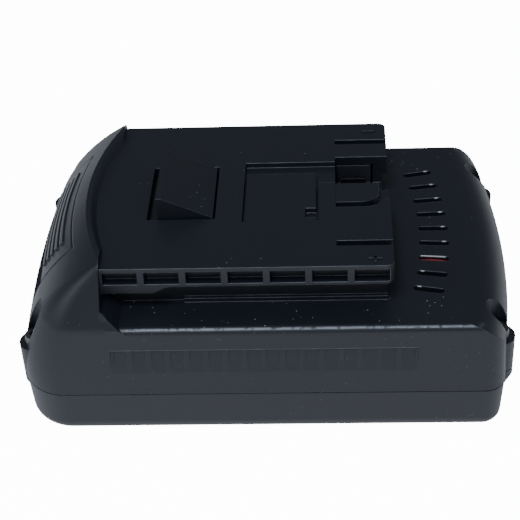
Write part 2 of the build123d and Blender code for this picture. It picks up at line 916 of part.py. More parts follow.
def make_thermistor():
    """Bead that lies on the fourth cell between the holder halves."""
    with BuildPart() as thermistor:
        with BuildSketch(Plane.XZ.offset(-thermistor_length / 2)):
            with Locations((cell_places[3], cell_axis_z + cell_radius + thermistor_radius + lead_gap)):
                Circle(thermistor_radius)
        extrude(amount=thermistor_length)
    thermistor.part.label = "thermistor"
    export_step(thermistor.part, "parts/thermistor.step")


def make_contact_carrier():
    """Block on the board that holds the blades up to the platform's slots."""
    half = pedestal_inside - carrier_front_gap
    front_x = pedestal_front_x - wall - carrier_front_gap
    length = front_x - carrier_rear_x
    with BuildPart() as contact_carrier:
        with BuildSketch(Plane.XY.offset(board_top_z)):
            with Locations((carrier_rear_x, 0)):
                Rectangle(length, 2 * carrier_foot_half_width, align=(Align.MIN, Align.CENTER))
        extrude(amount=carrier_shelf_z - board_top_z)
        with BuildSketch(Plane.XY.offset(carrier_shelf_z)):
            with Locations((carrier_rear_x, 0)):
                Rectangle(length, 2 * half, align=(Align.MIN, Align.CENTER))
        extrude(amount=tongue_z - carrier_shelf_z)
        # bay for the signal blades
        with BuildSketch(Plane.XY.offset(bay_floor_z)):
            with Locations((terminal_rear_x, bay_step_y)):
                Rectangle(length, bay_far_y - bay_step_y, align=(Align.MIN, Align.MIN))
        extrude(amount=tongue_z, mode=Mode.SUBTRACT)
        # channels of the two power blades, over the narrow roots that grip them
        with BuildSketch(Plane.XY.offset(slot_floor_z)):
            with Locations((terminal_rear_x, -slot_y), (terminal_rear_x, slot_y)):
                Rectangle(length, slot_width, align=(Align.MIN, Align.CENTER))
        extrude(amount=tongue_z, mode=Mode.SUBTRACT)
        with BuildSketch(Plane.XY.offset(carrier_shelf_z)):
            with Locations([(blade_rear_x, y) for y in blade_ys]):
                Rectangle(
                    blade_front_x - blade_rear_x + blade_gap,
                    blade_thickness + 2 * blade_gap,
                    align=(Align.MIN, Align.CENTER),
                )
        extrude(amount=bay_floor_z - carrier_shelf_z, mode=Mode.SUBTRACT)
    contact_carrier.part.label = "contact_carrier"
    export_step(contact_carrier.part, "parts/contact_carrier.step")


def make_blades():
    """Two power blades and the pair of signal blades, upright in the carrier."""
    blade_sets = (
        ("terminal_positive", blade_ys[:1], slot_floor_z + blade_height),
        ("terminal_negative", blade_ys[1:2], slot_floor_z + blade_height),
        ("terminal_signal", blade_ys[2:], bay_floor_z + signal_blade_height),
    )
    for name, ys, top_z in blade_sets:
        with BuildPart() as blades:
            with BuildSketch(Plane.XY.offset(carrier_shelf_z + blade_gap)):
                with Locations([(blade_rear_x + blade_gap, y) for y in ys]):
                    Rectangle(
                        blade_front_x - blade_rear_x - blade_gap,
                        blade_thickness,
                        align=(Align.MIN, Align.CENTER),
                    )
            extrude(amount=top_z - carrier_shelf_z - blade_gap)
            lead_in = blades.edges().filter_by(Axis.Z).group_by(Axis.X)[-1]
            chamfer(lead_in, blade_thickness / 3)
        blades.part.label = name
        export_step(blades.part, f"parts/{name}.step")


def lead_radii(points):
    """Bend radii of a lead: 0.45 of each corner's shorter run over half its turn."""
    radii = []
    for before, corner, after in zip(points, points[1:], points[2:]):
        run_in = Vector(*corner) - Vector(*before)
        run_out = Vector(*after) - Vector(*corner)
        half_turn = radians(run_in.get_angle(run_out) / 2)
        radii.append(bend_share * min(run_in.length, run_out.length) / tan(half_turn))
    return radii


def make_lead(name, points):
    radii = lead_radii(points)
    print(name, "bend radii", [round(radius, 1) for radius in radii])
    with BuildPart() as lead:
        with BuildLine() as route:
            FilletPolyline(*points, radius=radii)
        with BuildSketch(Plane(route.line @ 0, z_dir=route.line % 0)):
            Circle(lead_radius)
        sweep()
    lead.part.label = name
    export_step(lead.part, f"parts/{name}.step")


def make_leads():
    low_z = holder_top_z + strip_thickness + lead_radius + lead_gap
    high_z = board_top_z + lead_radius + lead_gap
    start_y = holder_end_y - lead_gap
    make_lead(
        "positive_lead",
        [
            (lead_x, -start_y, low_z),
            (lead_x, -start_y + lead_tail, low_z),
            (lead_x, -start_y + lead_tail + lead_rise_run, high_z),
            (lead_x, lead_end_y, high_z),
        ],
    )
    negative_points = [(x, y, high_z if raised else low_z) for x, y, raised in negative_route]
    make_lead("negative_lead", negative_points)


def make_release_latch():
    """Hook, guide plate and slanted thumb button moulded in one piece."""
    front_x = window_front_x - hook_front_gap
    hook_x = window_rear_x + hook_rear_gap
    hook_half_width = window_half_width - hook_side_gap
    skirt_x = rear_x_at(button_foot_z - latch_gap) + wall + latch_gap + skirt_thickness
    button_form = rear_body(button_foot_z, button_top_z, 0, ramp_front_x)
    grip_form = rear_body(button_foot_z, button_top_z, -grip_line_out, ramp_front_x)
    wall_line = rear_outline(button_foot_z - latch_gap, wall + latch_gap, ramp_front_x)
    line_heights = [grip_line_first_z + index * grip_line_pitch for index in range(grip_line_count)]
    with BuildPart() as release_latch:
        with BuildSketch(Plane.XZ):
            with BuildLine():
                Polyline(
                    (-half_length, button_foot_z),
                    (skirt_x, button_foot_z),
                    (skirt_x, button_foot_z + skirt_height),
                    (rear_x_at(latch_plate_z) + button_wall, latch_plate_z),
                    (platform_rear_x, latch_plate_z),
                    (platform_rear_x, latch_top_z),
                    (button_inner_x, latch_top_z),
                    (button_inner_x, button_top_z),
                    (-half_length, button_top_z),
                    close=True,
                )
            make_face()
        extrude(amount=button_half_width, both=True)
        add(button_form, mode=Mode.INTERSECT)
        # the foot of the button hangs inside the housing's wall
        with BuildSketch(Plane.XY.offset(button_foot_z)):
            add(wall_line)
        extrude(amount=button_top_z - button_foot_z, mode=Mode.INTERSECT)
        with BuildSketch(Plane.XY.offset(latch_plate_z)):
            with Locations((platform_rear_x, 0)):
                Rectangle(
                    latch_plate_front_x - platform_rear_x,
                    2 * button_half_width,
                    align=(Align.MIN, Align.CENTER),
                )
        extrude(amount=latch_plate_thickness)
        # hook: square behind, a ramp in front
        with BuildSketch(Plane.XZ):
            with BuildLine():
                Polyline(
                    (hook_x, latch_top_z),
                    (hook_x, hook_top_z),
                    (hook_x + hook_land, hook_top_z),
                    (front_x, platform_z),
                    (front_x, latch_top_z),
                    close=True,
                )
            make_face()
        extrude(amount=hook_half_width, both=True)
    with BuildPart() as grip_lines:
        with BuildSketch(Plane.XZ):
            with Locations([(-half_length, z) for z in line_heights]):
                Rectangle(half_length + button_inner_x, grip_line_height, align=(Align.MIN, Align.MIN))
        extrude(amount=grip_line_half_width, both=True)
        add(grip_form, mode=Mode.INTERSECT)
    with BuildPart() as whole_latch:
        add(release_latch.part)
        add(grip_lines.part)
    whole_latch.part.label = "release_latch"
    export_step(whole_latch.part, "parts/release_latch.step")


def make_latch_spring(name, side):
    """Four-sided wire wound in one helix between the holder and the latch plate."""
    coil_height = spring_length - 2 * (spring_wire_radius + spring_gap)
    start_z = holder_top_z + spring_wire_radius + spring_gap
    with BuildPart() as spring:
        with BuildLine() as coil:
            Helix(
                coil_height / spring_turns,
                coil_height,
                spring_radius,
                center=(spring_x, side * spring_y, start_z),
            )
        with BuildSketch(Plane(coil.line @ 0, z_dir=coil.line % 0)):
            RegularPolygon(spring_wire_radius, 4)
        sweep(is_frenet=True)
    spring.part.label = name
    export_step(spring.part, f"parts/{name}.step")


os.makedirs("parts", exist_ok=True)
make_upper_housing()
make_lower_housing()
make_housing_screws()
make_cells()
make_cell_holder("cell_holder_front", -1)
make_cell_holder("cell_holder_rear", 1)
make_floor_pad()
make_cell_links()
make_end_tab("positive_tab", cell_places[-1], -1)
make_end_tab("negative_tab", cell_places[0], 1)
make_insulating_sheet("insulating_sheet_front", -1)
make_insulating_sheet("insulating_sheet_rear", 1)
make_control_board()
make_board_parts()
make_board_screws()
make_thermistor()
make_contact_carrier()
make_blades()
make_leads()
make_release_latch()
make_latch_spring("latch_spring_near", -1)
make_latch_spring("latch_spring_far", 1)
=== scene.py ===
"""Dresses the battery pack's solids and lights them for the photograph's view."""
import json
import logging
import math
from dataclasses import dataclass, field
from enum import Enum

import bmesh
import bpy
from mathutils import Matrix, Vector


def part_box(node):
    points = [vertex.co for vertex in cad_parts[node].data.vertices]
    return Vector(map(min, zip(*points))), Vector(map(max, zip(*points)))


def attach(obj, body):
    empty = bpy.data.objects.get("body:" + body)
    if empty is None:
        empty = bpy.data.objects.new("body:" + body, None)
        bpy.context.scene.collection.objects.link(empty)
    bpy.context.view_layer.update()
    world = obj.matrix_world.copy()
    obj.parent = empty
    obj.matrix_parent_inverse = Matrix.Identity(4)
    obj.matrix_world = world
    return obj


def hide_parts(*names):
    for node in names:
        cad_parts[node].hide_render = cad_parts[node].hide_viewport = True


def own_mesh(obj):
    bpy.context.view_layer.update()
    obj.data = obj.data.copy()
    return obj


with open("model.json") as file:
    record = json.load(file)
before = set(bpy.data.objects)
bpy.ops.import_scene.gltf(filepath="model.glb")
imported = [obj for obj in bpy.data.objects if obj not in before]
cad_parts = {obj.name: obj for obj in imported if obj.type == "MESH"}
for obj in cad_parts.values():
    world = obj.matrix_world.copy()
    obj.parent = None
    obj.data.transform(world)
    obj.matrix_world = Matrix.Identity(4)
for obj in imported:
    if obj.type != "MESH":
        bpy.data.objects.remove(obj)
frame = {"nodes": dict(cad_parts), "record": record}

LOG = logging.getLogger("battery_pack")
MM = 0.001
BEVEL_SEGMENTS = 2
GRAIN_STRENGTH = 0.6

Colour = tuple[float, float, float]

GLINT_COLOUR: Colour = (0.85, 0.86, 0.88)
DUST_COLOUR: Colour = (0.55, 0.56, 0.58)


class Slot(Enum):
    """Material slots of the record, one for each finish of the pack."""

    HOUSING = "housing_black"
    LATCH = "latch_black"
    CARRIER = "carrier_black"
    HOLDER = "holder_black"
    CELL = "cell_wrap"
    SPRING = "spring_steel"
    SCREW = "screw_steel"
    NICKEL = "nickel"
    CONTACT = "contact_metal"
    FOAM = "foam"
    SHEET = "sheet"
    BOARD = "board_green"
    CHIP = "chip_black"
    CAN = "capacitor_can"
    BEAD = "bead"
    RED_LEAD = "lead_red"
    BLACK_LEAD = "lead_black"


class Body(Enum):
    """The record's body that the added pieces ride on."""

    PACK = "pack"


def group_tree(name: str, inputs: dict[str, float], outputs: dict[str, str]) -> bpy.types.NodeTree:
    """Starts a shader node group with named sockets.

    Args:
        name: The group's name.
        inputs: Each input's name and default value, a number.
        outputs: Each output's name and socket type.

    Returns:
        The group's tree, with its input and output nodes named "in" and "out".
    """
    tree = bpy.data.node_groups.new(name, "ShaderNodeTree")
    for title, default in inputs.items():
        socket = tree.interface.new_socket(title, in_out="INPUT", socket_type="NodeSocketFloat")
        socket.default_value = default
    for title, kind in outputs.items():
        tree.interface.new_socket(title, in_out="OUTPUT", socket_type=kind)
    tree.nodes.new("NodeGroupInput").name = "in"
    tree.nodes.new("NodeGroupOutput").name = "out"
    return tree


def add_node(tree: bpy.types.NodeTree, kind: str, **settings: object) -> bpy.types.Node:
    """Adds a node and sets its properties.

    Args:
        tree: The tree that gets the node.
        kind: The node's type name.
        settings: Properties of the node, by name.

    Returns:
        The new node.
    """
    node = tree.nodes.new(kind)
    for key, value in settings.items():
        setattr(node, key, value)
    return node


def ramp(
    tree: bpy.types.NodeTree, source: bpy.types.NodeSocket, low: float, high: float
) -> bpy.types.NodeSocket:
    """Maps a value smoothly from between low and high to between 0 and 1.

    Args:
        tree: The tree to work in.
        source: The socket with the value.
        low: The value that becomes 0.
        high: The value that becomes 1.

    Returns:
        The socket with the mapped value.
    """
    node = add_node(tree, "ShaderNodeMapRange", interpolation_type="SMOOTHSTEP")
    node.inputs["From Min"].default_value = low
    node.inputs["From Max"].default_value = high
    tree.links.new(source, node.inputs["Value"])
    return node.outputs["Result"]


def maths(tree: bpy.types.NodeTree, kind: str, first: object, second: object) -> bpy.types.NodeSocket:
    """Joins two values by one operation.

    Args:
        tree: The tree to work in.
        kind: The operation.
        first: A socket or a number.
        second: A socket or a number.

    Returns:
        The socket with the result.
    """
    node = add_node(tree, "ShaderNodeMath", operation=kind)
    for place, value in enumerate((first, second)):
        if isinstance(value, bpy.types.NodeSocket):
            tree.links.new(value, node.inputs[place])
        else:
            node.inputs[place].default_value = value
    return node.outputs[0]


@dataclass(frozen=True)
class Band:
    """A range of values with soft ends."""

    low: float
    high: float
    soft: float

    def mask(self, tree: bpy.types.NodeTree, source: bpy.types.NodeSocket) -> bpy.types.NodeSocket:
        """Masks the values that lie in the range.

        Args:
            tree: The tree to work in.
            source: The socket with the value.

        Returns:
            The socket with the mask.
        """
        above = ramp(tree, source, self.low - self.soft, self.low + self.soft)
        below = ramp(tree, source, self.high + self.soft, self.high - self.soft)
        return maths(tree, "MULTIPLY", above, below)


@dataclass(frozen=True)
class Rise:
    """A step from 0 at one value to 1 at another, which may be the lower one."""

    none: float
    full: float

    def mask(self, tree: bpy.types.NodeTree, source: bpy.types.NodeSocket) -> bpy.types.NodeSocket:
        """Masks the values past the step.

        Args:
            tree: The tree to work in.
            source: The socket with the value.

        Returns:
            The socket with the mask.
        """
        return ramp(tree, source, self.none, self.full)


def times(tree: bpy.types.NodeTree, *values: object) -> bpy.types.NodeSocket:
    """Multiplies two or more values.

    Args:
        tree: The tree to work in.
        values: Sockets or numbers.

    Returns:
        The socket with the product.
    """
    product = values[0]
    for value in values[1:]:
        product = maths(tree, "MULTIPLY", product, value)
    return product


def size_of(tree: bpy.types.NodeTree, source: bpy.types.NodeSocket) -> bpy.types.NodeSocket:
    """Drops a value's sign.

    Args:
        tree: The tree to work in.
        source: The socket with the value.

    Returns:
        The socket with the value without its sign.
    """
    return maths(tree, "ABSOLUTE", source, 0.0)


def split(tree: bpy.types.NodeTree, source: bpy.types.NodeSocket) -> bpy.types.NodeOutputs:
    """Splits a vector into X, Y and Z.

    Args:
        tree: The tree to work in.
        source: The socket with the vector.

    Returns:
        The outputs, by the names X, Y and Z.
    """
    node = add_node(tree, "ShaderNodeSeparateXYZ")
    tree.links.new(source, node.inputs["Vector"])
    return node.outputs


def place_of(tree: bpy.types.NodeTree) -> bpy.types.NodeSocket:
    """Gives the place on the pack, in its own coordinates.

    Args:
        tree: The tree to work in.

    Returns:
        The socket with the place.
    """
    return add_node(tree, "ShaderNodeTexCoord").outputs["Object"]


def flat_normal(tree: bpy.types.NodeTree) -> bpy.types.NodeSocket:
    """Gives the surface's own direction.

    Args:
        tree: The tree to work in.

    Returns:
        The socket with the normal.
    """
    return add_node(tree, "ShaderNodeNewGeometry").outputs["Normal"]


def rounded_normal(
    tree: bpy.types.NodeTree, radius: bpy.types.NodeSocket, samples: int
) -> bpy.types.NodeSocket:
    """Gives the surface's direction with its edges rounded off.

    Args:
        tree: The tree to work in.
        radius: The socket with the rounding.
        samples: How finely the rounding is worked out.

    Returns:
        The socket with the normal.
    """
    node = add_node(tree, "ShaderNodeBevel", samples=samples)
    tree.links.new(radius, node.inputs["Radius"])
    return node.outputs["Normal"]


def noise(
    tree: bpy.types.NodeTree, place: bpy.types.NodeSocket, scale: object, detail: float
) -> bpy.types.NodeSocket:
    """Gives a cloudy value that changes over the surface.

    Args:
        tree: The tree to work in.
        place: The socket with the place.
        scale: How fine the clouds are, a socket or a number.
        detail: How rough their outlines are.

    Returns:
        The socket with the value.
    """
    node = add_node(tree, "ShaderNodeTexNoise", noise_dimensions="3D")
    node.inputs["Detail"].default_value = detail
    tree.links.new(place, node.inputs["Vector"])
    if isinstance(scale, bpy.types.NodeSocket):
        tree.links.new(scale, node.inputs["Scale"])
    else:
        node.inputs["Scale"].default_value = scale
    return node.outputs["Fac"]


@dataclass(frozen=True)
class EdgeWearAndSheen:
    """Group that rounds the edges, finds where hands and rails rub them, and paints a highlight on edges
    that face the front and on the far edges around the bay.
    """

    samples: int = 8
    patch_scale: float = 210.0
    patch_detail: float = 5.0
    patches: Rise = Rise(0.35, 0.62)
    turned: Rise = Rise(0.01, 0.24)
    facing: Rise = Rise(0.1, 0.6)
    # the first share below is a painted highlight on edges facing the front and on far edges around the bay,
    # the second is plain wear on every edge
    sheen_share: float = 0.85
    plain_wear_share: float = 0.15
    bay_half_width: Rise = Rise(19.0 * MM, 17.0 * MM)
    bay_rear_x: Rise = Rise(-3.0 * MM, -1.0 * MM)
    upright: Rise = Rise(0.5, 0.15)
    seam_z: float = 12.5 * MM
    seam_reach: Rise = Rise(0.5 * MM, 1.0 * MM)
    shoulder_x: Band = Band(-48.5 * MM, -35.0 * MM, 1.0 * MM)
    shoulder_z: Band = Band(27.0 * MM, 34.0 * MM, 1.0 * MM)
    shoulder_y: Rise = Rise(24.0 * MM, 26.0 * MM)

    def build(self) -> bpy.types.NodeTree:
        """Builds the group.

        Returns:
            A group with the rounded normal and the mask of the edges.
        """
        tree = group_tree(
            "edge_wear_and_sheen",
            {"Radius": 0.4 * MM, "Patchiness": 0.5, "Blend": 0.0},
            {"Normal": "NodeSocketVector", "Mask": "NodeSocketFloat"},
        )
        start, end = tree.nodes["in"].outputs, tree.nodes["out"].inputs
        place = place_of(tree)
        where = split(tree, place)
        sides = size_of(tree, where["Y"])
        # the shoulder behind the deck is blended over a wider strip than the edges
        blend = times(
            tree,
            start["Blend"],
            self.shoulder_x.mask(tree, where["X"]),
            self.shoulder_z.mask(tree, where["Z"]),
            self.shoulder_y.mask(tree, sides),
        )
        rounded = rounded_normal(tree, maths(tree, "MAXIMUM", start["Radius"], blend), self.samples)
        turn = add_node(tree, "ShaderNodeVectorMath", operation="DOT_PRODUCT")
        tree.links.new(rounded, turn.inputs[0])
        tree.links.new(flat_normal(tree), turn.inputs[1])
        edge = self.turned.mask(tree, maths(tree, "SUBTRACT", 1.0, turn.outputs["Value"]))
        worn_and_sheen = self.patches.mask(tree, noise(tree, place, self.patch_scale, self.patch_detail))
        kept = maths(tree, "SUBTRACT", 1.0, start["Patchiness"])
        share = maths(tree, "ADD", kept, times(tree, worn_and_sheen, start["Patchiness"]))
        facing = split(tree, rounded)
        # edges that face the front get a painted highlight
        near_edge = self.facing.mask(tree, times(tree, facing["Y"], -1.0))
        # around the bay and the raised plate the far edges get the painted highlight as well
        far_edge = times(
            tree,
            self.bay_half_width.mask(tree, sides),
            self.facing.mask(tree, facing["Y"]),
            self.bay_rear_x.mask(tree, where["X"]),
        )
        # the painted highlight, laid on top of the plain wear that every edge gets
        painted_sheen = times(tree, maths(tree, "MAXIMUM", near_edge, far_edge), self.sheen_share)
        from_seam = size_of(tree, maths(tree, "SUBTRACT", where["Z"], self.seam_z))
        mask = times(
            tree,
            edge,
            share,
            maths(tree, "ADD", painted_sheen, self.plain_wear_share),
            self.upright.mask(tree, size_of(tree, facing["X"])),
            self.seam_reach.mask(tree, from_seam),
        )
        tree.links.new(rounded, end["Normal"])
        tree.links.new(mask, end["Mask"])
        return tree


@dataclass(frozen=True)
class FineGrain:
    """Group for the fine grain of a moulded or drawn surface."""

    grain_detail: float = 2.0
    cloud_detail: float = 4.0

    def build(self) -> bpy.types.NodeTree:
        """Builds the group.

        Returns:
            A group with the grain's height and a slow cloudy variation.
        """
        tree = group_tree(
            "fine_grain",
            {"Scale": 2600.0, "Cloud Scale": 60.0},
            {"Height": "NodeSocketFloat", "Cloud": "NodeSocketFloat"},
        )
        start, end = tree.nodes["in"].outputs, tree.nodes["out"].inputs
        place = place_of(tree)
        tree.links.new(noise(tree, place, start["Scale"], self.grain_detail), end["Height"])
        tree.links.new(noise(tree, place, start["Cloud Scale"], self.cloud_detail), end["Cloud"])
        return tree


@dataclass(frozen=True)
class DustSpecks:
    """Group for lint and dust, which settles on top and gathers in the side grooves."""

    spread_scale: float = 95.0
    spread_detail: float = 2.0
    spread: Rise = Rise(0.60, 0.68)
    groove_y: Rise = Rise(25.5 * MM, 26.5 * MM)
    groove_z: Rise = Rise(33.0 * MM, 31.0 * MM)
    groove_share: float = 0.15
    upward: Rise = Rise(0.5, 0.9)
    upward_share: float = 0.8
    any_share: float = 0.2

    def build(self) -> bpy.types.NodeTree:
        """Builds the group.

        Returns:
            A group with the mask of the specks.
        """
        tree = group_tree("dust_specks", {"Scale": 620.0, "Size": 0.064}, {"Mask": "NodeSocketFloat"})
        start, end = tree.nodes["in"].outputs, tree.nodes["out"].inputs
        place = place_of(tree)
        where = split(tree, place)
        cells = add_node(tree, "ShaderNodeTexVoronoi", feature="F1")
        tree.links.new(place, cells.inputs["Vector"])
        tree.links.new(start["Scale"], cells.inputs["Scale"])
        near = maths(tree, "LESS_THAN", cells.outputs["Distance"], start["Size"])
        gathered = times(
            tree,
            self.groove_y.mask(tree, size_of(tree, where["Y"])),
            self.groove_z.mask(tree, where["Z"]),
            self.groove_share,
        )
        few = noise(tree, place, self.spread_scale, self.spread_detail)
        sparse = self.spread.mask(tree, maths(tree, "ADD", few, gathered))
        upward = self.upward.mask(tree, split(tree, flat_normal(tree))["Z"])
        settled = maths(tree, "ADD", times(tree, upward, self.upward_share), self.any_share)
        tree.links.new(times(tree, near, sparse, settled), end["Mask"])
        return tree


@dataclass(frozen=True)
class DeckRimHighlight:
    """Group that finds the painted highlight line along the rim of the deck."""

    break_detail: float = 3.0
    breaks: Rise = Rise(0.30, 0.55)
    tilt: Band = Band(0.74, 0.93, 0.04)
    rim_z: Band = Band(27.0 * MM, 30.4 * MM, 0.1 * MM)
    rim_y: Band = Band(34.5 * MM, 38.5 * MM, 0.3 * MM)
    rim_x: Band = Band(-31.0 * MM, 48.0 * MM, 2.0 * MM)

    def build(self) -> bpy.types.NodeTree:
        """Builds the group.

        Returns:
            A group with the mask of the line, broken up by noise.
        """
        tree = group_tree("painted_rim_highlight", {"Breaks": 900.0}, {"Mask": "NodeSocketFloat"})
        start, end = tree.nodes["in"].outputs, tree.nodes["out"].inputs
        place = place_of(tree)
        where = split(tree, place)
        # a painted highlight on the deck rim's fillet, broken up by noise
        mask = times(
            tree,
            self.breaks.mask(tree, noise(tree, place, start["Breaks"], self.break_detail)),
            self.tilt.mask(tree, split(tree, flat_normal(tree))["Z"]),
            self.rim_z.mask(tree, where["Z"]),
            self.rim_y.mask(tree, size_of(tree, where["Y"])),
            self.rim_x.mask(tree, where["X"]),
        )
        tree.links.new(mask, end["Mask"])
        return tree


@dataclass(frozen=True)
class VentGlints:
    """Group that finds the bright spots on the far edges of the deck vents."""

    samples: int = 6
    facing: Rise = Rise(0.25, 0.6)
    deck_z: Rise = Rise(30.12 * MM, 30.28 * MM)
    top_z: Rise = Rise(30.8 * MM, 30.6 * MM)
    vents_x: Rise = Rise(33.0 * MM, 34.0 * MM)
    ring_centre_x: float = -72.0 * MM
    ring_reach: Band = Band(113.9 * MM, 114.7 * MM, 0.2 * MM)
    near_vents_y: Rise = Rise(-13.0 * MM, -14.0 * MM)
    near_vents_shift: float = 4.6 * MM
    bar_y: Band = Band(-11.8 * MM, -10.2 * MM, 0.2 * MM)
    bar_x: Band = Band(36.4 * MM, 42.1 * MM, 0.2 * MM)

    def build(self) -> bpy.types.NodeTree:
        """Builds the group.

        Returns:
            A group with the mask of the spots.
        """
        tree = group_tree("vent_glints", {"Radius": 0.4 * MM}, {"Mask": "NodeSocketFloat"})
        start, end = tree.nodes["in"].outputs, tree.nodes["out"].inputs
        where = split(tree, place_of(tree))
        facing = split(tree, rounded_normal(tree, start["Radius"], self.samples))
        lit = times(
            tree,
            self.facing.mask(tree, times(tree, facing["Y"], -1.0)),
            self.deck_z.mask(tree, where["Z"]),
            self.top_z.mask(tree, where["Z"]),
            self.vents_x.mask(tree, where["X"]),
        )
        # the spots lie on a ring, apart from those of the two nearest vents
        from_centre = maths(tree, "SUBTRACT", where["X"], self.ring_centre_x)
        squares = maths(
            tree, "ADD", times(tree, from_centre, from_centre), times(tree, where["Y"], where["Y"])
        )
        shift = times(tree, self.near_vents_y.mask(tree, where["Y"]), self.near_vents_shift)
        reach = maths(tree, "ADD", maths(tree, "SQRT", squares, 0.0), shift)
        spots = self.ring_reach.mask(tree, reach)
        bar = times(tree, self.bar_y.mask(tree, where["Y"]), self.bar_x.mask(tree, where["X"]))
        tree.links.new(times(tree, lit, maths(tree, "MAXIMUM", spots, bar)), end["Mask"])
        return tree


def cover(
    tree: bpy.types.NodeTree, under: bpy.types.NodeSocket, colour: Colour, mask: bpy.types.NodeSocket
) -> bpy.types.NodeSocket:
    """Lays a colour over another one where a mask says so.

    Args:
        tree: The tree to work in.
        under: The socket with the colour below.
        colour: The colour on top.
        mask: The socket with the share of the colour on top.

    Returns:
        The socket with the result.
    """
    mix = add_node(tree, "ShaderNodeMix", data_type="RGBA")
    mix.inputs["B"].default_value = (*colour, 1)
    tree.links.new(under, mix.inputs["A"])
    tree.links.new(mask, mix.inputs["Factor"])
    return mix.outputs["Result"]


def place_group(
    tree: bpy.types.NodeTree, group: bpy.types.NodeTree, **values: float
) -> bpy.types.NodeOutputs:
    """Places a shared group in a material with its own values.

    Args:
        tree: The material's tree.
        group: The shared group.
        values: The group's inputs, by name, with an underscore for a space.

    Returns:
        The group's outputs.
    """
    node = add_node(tree, "ShaderNodeGroup", node_tree=group)
    for title, value in values.items():
        node.inputs[title.replace("_", " ")].default_value = value
    return node.outputs


@dataclass(frozen=True)
class Finish:
    """One finish: colour, gloss and how much grain, wear, dust and painted highlight it shows."""

    name: str
    colour: Colour
    roughness: float
    metallic: float = 0.0
    # the next two give the colour and share of the edge mask, which is wear plus a painted highlight; the
    # colour also paints the highlight along the deck's rim
    worn_and_sheen: Colour = (0.2, 0.22, 0.25)
    wear_and_sheen: float = 0.0
    edge_radius: float = 0.3 * MM
    patchiness: float = 0.5
    grain_scale: float = 2600.0
    grain_depth: float = 0.02 * MM
    cloud_scale: float = 60.0
    cloud: float = 0.15
    dust: float = 0.0
    specular: float = 0.5
    coat: float = 0.0
    rim: float = 0.0
    glint: float = 0.0
    blend: float = 0.0

    def build(self, groups: dict[str, bpy.types.NodeTree]) -> bpy.types.Material:
        """Builds the finish's material from the shared groups.

        Args:
            groups: The shared node groups by name.

        Returns:
            The material.
        """
        material = bpy.data.materials.new(self.name)
        material.use_nodes = True
        tree = material.node_tree
        shader = tree.nodes["Principled BSDF"].inputs
        shader["Metallic"].default_value = self.metallic
        shader["Specular IOR Level"].default_value = self.specular
        shader["Coat Weight"].default_value = self.coat
        grain = place_group(tree, groups["grain"], Scale=self.grain_scale, Cloud_Scale=self.cloud_scale)
        edges = place_group(
            tree, groups["edges"], Radius=self.edge_radius, Patchiness=self.patchiness, Blend=self.blend
        )
        shade = add_node(tree, "ShaderNodeMix", data_type="RGBA", blend_type="MULTIPLY")
        shade.inputs["A"].default_value = (*self.colour, 1)
        shade.inputs["Factor"].default_value = self.cloud
        tree.links.new(grain["Cloud"], shade.inputs["B"])
        # the edges get wear and a painted highlight in this colour
        colour = cover(tree, shade.outputs["Result"], self.worn_and_sheen, times(tree, edges["Mask"], self.wear_and_sheen))
        # the rim line and the vent glints are painted highlights, the dust is real
        for group, share, top in (
            ("rim", self.rim, self.worn_and_sheen),
            ("glint", self.glint, GLINT_COLOUR),
            ("dust", self.dust, DUST_COLOUR),
        ):
            if share:
                mask = place_group(tree, groups[group])["Mask"]
                colour = cover(tree, colour, top, times(tree, mask, share))
        tree.links.new(colour, shader["Base Color"])
        rough = add_node(tree, "ShaderNodeMapRange")
        rough.inputs["To Min"].default_value = self.roughness - self.cloud / 2
        rough.inputs["To Max"].default_value = self.roughness + self.cloud / 2
        tree.links.new(grain["Cloud"], rough.inputs["Value"])
        tree.links.new(rough.outputs["Result"], shader["Roughness"])
        bump = add_node(tree, "ShaderNodeBump")
        bump.inputs["Distance"].default_value = self.grain_depth
        bump.inputs["Strength"].default_value = GRAIN_STRENGTH
        tree.links.new(grain["Height"], bump.inputs["Height"])
        tree.links.new(edges["Normal"], bump.inputs["Normal"])
        tree.links.new(bump.outputs["Normal"], shader["Normal"])
        return material


